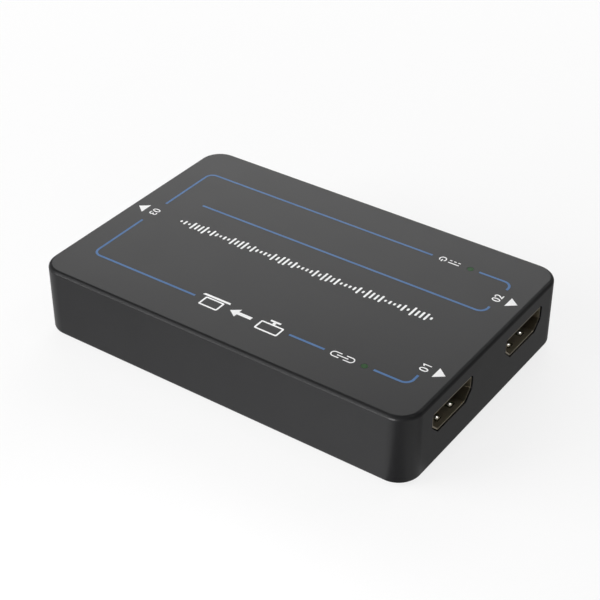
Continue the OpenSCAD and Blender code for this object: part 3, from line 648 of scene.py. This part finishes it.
def ink_from(name, curve, turn, material, sizes, at=(0, 0)):
    """Turns a flat curve into a mesh of ink at a place on the roof."""
    draft = bpy.data.objects.new(name + "_draft", curve)
    bpy.context.scene.collection.objects.link(draft)
    draft.location = (at[0], at[1], ROOF_Z + (sizes.ink_h - sizes.ink_root) / 2)
    draft.rotation_euler = turn
    bpy.context.view_layer.update()
    graph = bpy.context.evaluated_depsgraph_get()
    mesh = bpy.data.meshes.new_from_object(draft.evaluated_get(graph))
    mesh.transform(draft.matrix_world)
    mesh.name = name
    bpy.data.objects.remove(draft)
    welder = bmesh.new()
    welder.from_mesh(mesh)
    bmesh.ops.remove_doubles(welder, verts=welder.verts, dist=INK_WELD)
    bmesh.ops.recalc_face_normals(welder, faces=welder.faces)
    welder.to_mesh(mesh)
    welder.free()
    mesh.materials.clear()
    mesh.materials.append(material)
    piece = bpy.data.objects.new(name, mesh)
    bpy.context.scene.collection.objects.link(piece)
    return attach(piece, "root")


def number_on_roof(name, number, at, turn, material, sizes):
    """A printed number whose middle is at a place on the roof."""
    curve = bpy.data.curves.new(name, "FONT")
    curve.body = number
    curve.size = sizes.number_h / CAP_SHARE
    curve.align_x = "CENTER"
    curve.extrude = (sizes.ink_h + sizes.ink_root) / 2
    curve.offset = sizes.number_h * STROKE_GROWTH
    a = math.radians(turn)
    base = Vector((math.sin(a), -math.cos(a))) * sizes.number_h / 2
    return ink_from(name, curve, (0, 0, a), material, sizes, Vector(at) + base)


def outline(points, h):
    """Outline through points that are shares of a height."""
    return [Vector((x * h, y * h)) for x, y in points]


def one_loop(h):
    """Outline of a number one with a flag."""
    stem = ((0.03, -0.5), (0.18, -0.5), (0.18, 0.5), (0.06, 0.5))
    flag = ((-0.18, 0.34), (-0.18, 0.17), (0.03, 0.31))
    return outline(stem + flag, h)


def ring_part(radius, width, start, end):
    """Outline of a part of a ring between two angles in degrees."""
    return arc((0, 0), radius, start, end, 24) + arc((0, 0), radius - width, end, start, 24)


def power_sign(h):
    """A ring with a gap and a stroke in it, beside a straight and a broken line."""
    stroke = h * 0.16
    ring = [ring_part(h / 2, stroke, 130, 410), box_loop(0, h * 0.3, stroke, h * 0.48)]
    lines = [box_loop(0, h * 0.25, h * 1.5, stroke)]
    lines += [box_loop(step * h * 0.58, -h * 0.25, h * 0.34, stroke) for step in (-1, 0, 1)]
    return placed(ring, (h * 0.95, 0)) + placed(lines, (-h * 0.65, 0))


def link_sign(h):
    """Two open links of a chain and the bar that joins them."""
    bend = (h * 1.1, 0)
    outer_r, inner_r = h * 0.5, h * 0.35
    open_x = h * 0.3
    outer = [Vector((open_x, -outer_r)), *arc(bend, outer_r, -90, 90), Vector((open_x, outer_r))]
    inner = [Vector((open_x, inner_r)), *arc(bend, inner_r, 90, -90), Vector((open_x, -inner_r))]
    links = [[Vector((side * p.x, p.y)) for p in outer + inner] for side in (1, -1)]
    return [box_loop(0, 0, h * 1.5, h * 0.15), *links]


def screen_sign(h):
    """A screen on a stand."""
    frame_loop = box_loop(0, h * 0.14, h * 1.35, h * 0.72, h * 0.09)
    pane = box_loop(0, h * 0.14, h * 1.16, h * 0.53, h * 0.04)
    neck = box_loop(0, -h * 0.3, h * 0.16, h * 0.14)
    foot = box_loop(0, -h * 0.44, h * 0.6, h * 0.12)
    return [frame_loop, pane, neck, foot]


def arrow_sign(h):
    """A broad arrow."""
    half = ((-0.62, 0.11), (0.2, 0.11), (0.2, 0.34), (0.68, 0))
    below = [(x, -y) for x, y in reversed(half[:-1])]
    return [outline((*half, *below), h)]


def notebook_sign(h):
    """An open notebook computer."""
    lid = box_loop(0, h * 0.1, h * 1.15, h * 0.72, h * 0.09)
    pane = box_loop(0, h * 0.1, h * 0.96, h * 0.53, h * 0.04)
    base = outline(((-0.85, -0.32), (-0.78, -0.46), (0.78, -0.46), (0.85, -0.32)), h)
    return [lid, pane, base]


# Operators, one for each piece or group of like pieces


class CAPTUREBOX_OT_housing(bpy.types.Operator):
    """Finish the moulded housing and its base cover"""

    bl_idname = "capturebox.housing"
    bl_label = "Housing"

    def execute(self, context):
        dress(moulded_plastic(rgb(context.scene.box_colours.housing)), "top_shell", "bottom_cover")
        soften(context.scene.box_edges.housing, "top_shell", "bottom_cover")
        return {"FINISHED"}


class CAPTUREBOX_OT_printed_lines(bpy.types.Operator):
    """Print the frame of lines on the top, open at the sockets, the lights and the sign strip"""

    bl_idname = "capturebox.printed_lines"
    bl_label = "Printed lines"

    def execute(self, context):
        s = context.scene.box_print
        right = VIDEO_END_X - s.line_margin
        left = DATA_END_X + s.line_margin
        power = middle("power_light_pipe")
        link = middle("link_light_pipe")
        entry = middle("input_socket_shell").y
        exit_y = middle("output_socket_shell").y
        stop = DATA_END_X + s.middle_margin
        runs = [
            [(left, s.data_gap), (left, power.y), (power.x - s.sign_gap, power.y)],
            [(power.x + s.light_gap, power.y), (right, power.y), (right, exit_y + s.output_gap)],
            [(right, exit_y - s.output_gap), (right, s.middle_y), (stop, s.middle_y)],
            [(left, -s.data_gap), (left, link.y), (-s.strip_gap, link.y)],
            [(s.strip_gap, link.y), (link.x - s.sign_gap, link.y)],
            [(link.x + s.light_gap, link.y), (right, link.y), (right, entry - s.input_gap)],
        ]
        loops = [ribbon(rounded_path(run, s.line_r), s.line_w) for run in runs]
        print_on_roof("printed_lines", loops, ink("line_ink", rgb(context.scene.box_colours.line_ink)), s)
        return {"FINISHED"}


class CAPTUREBOX_OT_printed_marks(bpy.types.Operator):
    """Print an arrow and a number at each socket and a sign at each light"""

    bl_idname = "capturebox.printed_marks"
    bl_label = "Printed marks"

    def execute(self, context):
        s = context.scene.box_print
        white = ink("mark_ink", rgb(context.scene.box_colours.mark_ink))
        half_w = s.arrow_w / 2
        arrow = [[Vector((0, 0)), Vector((-s.arrow_l, half_w)), Vector((-s.arrow_l, -half_w))]]
        arrows = []
        for side in VIDEO_SIDES:
            arrows += placed(arrow, (VIDEO_END_X - s.arrow_margin, middle(side + "_socket_shell").y))
        arrows += placed(arrow, (DATA_END_X + s.arrow_margin, 0), 180)
        print_on_roof("socket_arrows", arrows, white, s)
        near = VIDEO_END_X - s.number_margin
        far = DATA_END_X + s.number_margin
        entry = middle("input_socket_shell").y
        number_on_roof("input_zero", "0", (near, entry + ZERO_SHIFT * s.number_h), 90, white, s)
        one = placed([one_loop(s.number_h)], (near, entry + ONE_SHIFT * s.number_h), 90)
        print_on_roof("input_one", one, white, s)
        number_on_roof("output_number", "02", (near, middle("output_socket_shell").y), 90, white, s)
        number_on_roof("data_number", "03", (far, middle("data_socket_shell").y), -90, white, s)
        for name, loops in (("power", power_sign(s.sign_h)), ("link", link_sign(s.sign_h))):
            light = middle(name + "_light_pipe")
            at = (light.x - s.sign_margin, light.y)
            print_on_roof(name + "_sign", placed(loops, at, 180), white, s)
        return {"FINISHED"}


class CAPTUREBOX_OT_printed_strip(bpy.types.Operator):
    """Print the row of signal bars and the strip of signs"""

    bl_idname = "capturebox.printed_strip"
    bl_label = "Printed strip"

    def execute(self, context):
        s = context.scene.box_print
        white = ink("strip_ink", rgb(context.scene.box_colours.mark_ink))
        bars = []
        for i in range(s.bar_count):
            swing = abs(math.sin(SLOW_WAVE * i) * math.sin(FAST_WAVE * i + FAST_START))
            tall = s.bar_low + (s.bar_high - s.bar_low) * swing
            x = (i - (s.bar_count - 1) / 2) * s.bar_pitch
            bars.append(box_loop(x, s.bar_y, s.bar_w, tall, s.bar_w * BAR_ROUND))
        print_on_roof("signal_bars", bars, white, s)
        strip_y = middle("link_light_pipe").y
        signs = placed(screen_sign(s.strip_h), (s.strip_pitch, strip_y), 180)
        signs += placed(arrow_sign(s.strip_h), (0, strip_y), 180)
        signs += placed(notebook_sign(s.strip_h), (-s.strip_pitch, strip_y), 180)
        print_on_roof("strip_signs", signs, white, s)
        return {"FINISHED"}


class CAPTUREBOX_OT_sockets(bpy.types.Operator):
    """Finish the shells, insulators and contacts of the sockets"""

    bl_idname = "capturebox.sockets"
    bl_label = "Sockets"

    def execute(self, context):
        colours = context.scene.box_colours
        names = [side + "_socket" for side in VIDEO_SIDES] + ["data_socket"]
        shells = [n + "_shell" for n in names]
        sizes = context.scene.box_pips
        mouth_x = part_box("input_socket_shell")[1].x
        axis_y = abs(middle("input_socket_shell").y)

        def pips(finish):
            along = finish.axis("X") - (mouth_x - sizes.from_mouth)
            across = abs(abs(finish.axis("Y")) - axis_y) - sizes.from_axis
            spread = (along * along + across * across) * (2 / sizes.width) ** 2
            return (1 - spread).at_least(0)

        plate = rgb(colours.socket_plate)
        dress(rubbed_plate("socket_plate", plate, rgb(colours.rubbed_plate), pips), *shells[:-1])
        dress(plated("data_plate", plate, 0.32), shells[-1])
        soften(context.scene.box_edges.sheet, *shells)
        dress(resin("socket_resin", (0.013, 0.013, 0.013), 0.5), *[n + "_insulator" for n in names])
        dress(plated("contact_gold", rgb(colours.contact), 0.25), *[n + "_contacts" for n in names])
        return {"FINISHED"}


class CAPTUREBOX_OT_lights(bpy.types.Operator):
    """Finish the light pipes and their diodes"""

    bl_idname = "capturebox.lights"
    bl_label = "Lights"

    def execute(self, context):
        dress(lens_resin(rgb(context.scene.box_colours.lens)), "power_light_pipe", "link_light_pipe")
        centre = middle("power_diode")

        def ends(finish):
            return abs(finish.axis("X") - centre.x) > DIODE_HALF

        diode_resin = tipped("diode_resin", (0.8, 0.78, 0.6), (0.75, 0.75, 0.75), ends)
        dress(diode_resin, "power_diode", "link_diode")
        return {"FINISHED"}


class CAPTUREBOX_OT_fastenings(bpy.types.Operator):
    """Finish the cover screws and the feet"""

    bl_idname = "capturebox.fastenings"
    bl_label = "Screws and feet"

    def execute(self, context):
        dress(plated("black_zinc", (0.1, 0.1, 0.105), 0.38, 0.2, (1, 1, 0.3)), "cover_screws")
        dress(resin("foot_rubber", (0.018, 0.018, 0.018), 0.8, 0.2, 0.015), "rubber_feet")
        soften(context.scene.box_edges.turned, "cover_screws", "rubber_feet")
        return {"FINISHED"}


class CAPTUREBOX_OT_board(bpy.types.Operator):
    """Finish the circuit board and what is soldered to it"""

    bl_idname = "capturebox.board"
    bl_label = "Circuit board"

    def execute(self, context):
        dress(solder_mask(rgb(context.scene.box_colours.laminate)), "main_board")
        chips = ("capture_chip", "receiver_chip", "loop_driver_chip", "memory_chip", "surge_arrays")
        dress(resin("chip_resin", BLACK_RESIN, 0.55), *chips)
        dress(plated("tinned_leads", TIN, 0.3), "receiver_chip_leads", "memory_chip_leads")
        dress(resin("pad_silicone", (0.22, 0.3, 0.4), 0.75), "thermal_pad")
        dress(plated("sink_aluminium", (0.8, 0.81, 0.83), 0.35, 0.3, (1, 0.1, 1)), "heat_sink")
        dress(plated("crystal_can", (0.66, 0.65, 0.62), 0.26), "clock_crystals")
        dress(resin("ferrite", (0.05, 0.05, 0.055), 0.6, 0.3, 0.02), "power_inductors")

        def row_ends(node):
            row_y = middle(node).y
            return lambda finish: abs(finish.axis("Y") - row_y) > CHIP_HALF

        def tabs(finish):
            return finish.axis("Z") < BOARD_Z + REGULATOR_TAB_H

        def can(finish):
            return finish.axis("Z") > BOARD_Z + CAPACITOR_BASE_H

        ceramic = tipped("capacitor_ceramic", (0.36, 0.24, 0.13), TIN, row_ends("chip_capacitors"))
        dress(ceramic, "chip_capacitors")
        film = tipped("resistor_film", (0.02, 0.02, 0.024), TIN, row_ends("chip_resistors"))
        dress(film, "chip_resistors")
        dress(tipped("regulator_resin", BLACK_RESIN, TIN, tabs), "voltage_regulators")
        dress(tipped("capacitor_can", BLACK_RESIN, (0.8, 0.8, 0.82), can), "bulk_capacitors")
        return {"FINISHED"}


class CAPTUREBOX_OT_stage(bpy.types.Operator):
    """Set up the floor, the room, the lamps and the camera"""

    bl_idname = "capturebox.stage"
    bl_label = "Stage"

    def execute(self, context):
        scene = context.scene
        settings = scene.box_stage
        scene.view_settings.view_transform = "Standard"
        self.floor()
        self.room(scene, settings)
        centre = (CAD_BOX[0] + CAD_BOX[1]) / 2
        lamps = {name: self.softbox(name, centre, *lamp) for name, lamp in LAMPS.items()}
        self.light_only(lamps["socket_spot"], [side + "_socket_shell" for side in VIDEO_SIDES])
        self.camera(scene, settings, centre)
        return {"FINISHED"}

    def floor(self):
        mesh = bpy.data.meshes.new("floor")
        mesh.from_pydata([(sx * FLOOR_HALF, sy * FLOOR_HALF, 0) for sx, sy in SQUARE], [], [(0, 1, 2, 3)])
        mesh.materials.append(floor_paper())
        floor = bpy.data.objects.new("floor", mesh)
        bpy.context.scene.collection.objects.link(floor)

    def room(self, scene, settings):
        world = bpy.data.worlds.new("studio_room")
        world.use_nodes = True
        scene.world = world
        tree = world.node_tree
        way = Wire.add(tree, "ShaderNodeTexCoord", out="Generated")
        height = way.make("ShaderNodeSeparateXYZ", sockets={0: way}, out="Z").at_least(0)
        wall = (1 - height) ** ROOM_FALL
        camera, mirrored = rays_seen(tree)
        level = settings.sky + (settings.horizon - settings.sky) * wall
        level = level.at_least(camera).at_least(settings.mirrored * mirrored)
        tree.links.new(level.socket, tree.nodes["Background"].inputs["Strength"])
        tree.nodes["Background"].inputs["Color"].default_value = WHITE

    def softbox(self, name, centre, azimuth, elevation, distance, size, power, mirrored):
        az, el = math.radians(azimuth), math.radians(elevation)
        away = Vector((math.cos(az) * math.cos(el), math.sin(az) * math.cos(el), math.sin(el)))
        lamp = bpy.data.lights.new(name, "AREA")
        lamp.shape = "RECTANGLE"
        lamp.size, lamp.size_y = size
        lamp.energy = power
        holder = bpy.data.objects.new(name, lamp)
        holder.visible_glossy = mirrored
        holder.location = centre + away * distance
        holder.rotation_mode = "QUATERNION"
        holder.rotation_quaternion = (-away).to_track_quat("-Z", "Y")
        bpy.context.scene.collection.objects.link(holder)
        return holder

    def light_only(self, holder, nodes):
        lit = bpy.data.collections.new(holder.name + "_lit")
        for name in nodes:
            lit.objects.link(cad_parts[name])
        holder.light_linking.receiver_collection = lit

    def camera(self, scene, settings, centre):
        az, el = settings.azimuth, settings.elevation
        back = Vector((math.sin(az) * math.cos(el), -math.cos(az) * math.cos(el), math.sin(el)))
        lens = bpy.data.cameras.new("camera")
        lens.sensor_width = SENSOR_W
        lens.lens = settings.lens
        lens.clip_start = NEAREST
        camera = bpy.data.objects.new("camera", lens)
        camera.location = centre + Vector(settings.aim) + back * settings.distance
        camera.rotation_mode = "QUATERNION"
        camera.rotation_quaternion = (-back).to_track_quat("-Z", "Y")
        scene.collection.objects.link(camera)
        scene.camera = camera


class CAPTUREBOX_PT_panel(bpy.types.Panel):
    """Lists the pieces and their settings in the sidebar"""

    bl_idname = "CAPTUREBOX_PT_panel"
    bl_label = "Capture Box"
    bl_space_type = "VIEW_3D"
    bl_region_type = "UI"
    bl_category = "Capture Box"

    def draw(self, context):
        for operator in OPERATORS:
            self.layout.operator(operator.bl_idname)
        for name in SETTINGS:
            group = getattr(context.scene, name)
            box = self.layout.box()
            for key in group.__annotations__:
                box.prop(group, key)


SETTINGS = {
    "box_print": PrintSizes, "box_edges": EdgeSizes, "box_pips": PipSizes, "box_colours": Colours,
    "box_stage": StageSettings,
}
OPERATORS = (
    CAPTUREBOX_OT_stage, CAPTUREBOX_OT_housing, CAPTUREBOX_OT_printed_lines, CAPTUREBOX_OT_printed_marks,
    CAPTUREBOX_OT_printed_strip, CAPTUREBOX_OT_sockets, CAPTUREBOX_OT_lights, CAPTUREBOX_OT_fastenings,
    CAPTUREBOX_OT_board,
)
CLASSES = (*SETTINGS.values(), *OPERATORS, CAPTUREBOX_PT_panel)


def register():
    for cls in CLASSES:
        bpy.utils.register_class(cls)
    for name, group in SETTINGS.items():
        setattr(bpy.types.Scene, name, bpy.props.PointerProperty(type=group))


def unregister():
    for name in SETTINGS:
        delattr(bpy.types.Scene, name)
    for cls in reversed(CLASSES):
        bpy.utils.unregister_class(cls)


def main():
    register()
    bpy.ops.capturebox.stage()
    bpy.ops.capturebox.housing()
    bpy.ops.capturebox.printed_lines()
    bpy.ops.capturebox.printed_marks()
    bpy.ops.capturebox.printed_strip()
    bpy.ops.capturebox.sockets()
    bpy.ops.capturebox.lights()
    bpy.ops.capturebox.fastenings()
    bpy.ops.capturebox.board()


if __name__ == "__main__":
    main()
